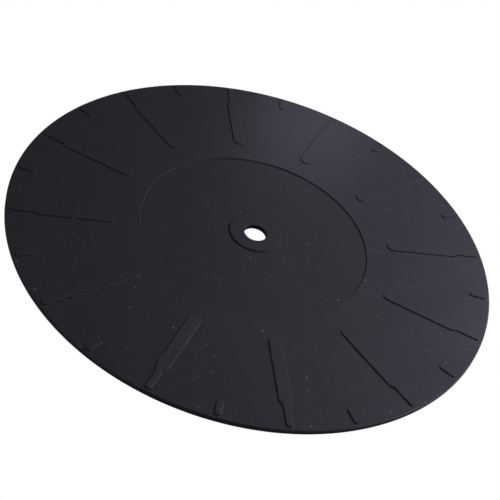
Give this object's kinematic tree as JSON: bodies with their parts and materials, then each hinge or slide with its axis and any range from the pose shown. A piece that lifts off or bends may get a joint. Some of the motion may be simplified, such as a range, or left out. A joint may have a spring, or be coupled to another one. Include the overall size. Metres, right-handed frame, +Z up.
{
  "type": "turntable platter mat",
  "caption": "Thin round rubber mat for a record player's platter, with raised waisted radial ribs, a shallow label dish and a central spindle hole.",
  "frame": {"origin": "centre of the flat underside, on the spindle hole's axis", "axes": "+Z up through the spindle hole, out of the ribbed face; +X along the middle of a long rib"},
  "size_m": [0.295, 0.295, 0.0036],
  "materials": {
    "rubber": "satin black moulded rubber"
  },
  "bodies": {
    "root": {"platter_mat": "rubber"}
  },
  "joints": []
}
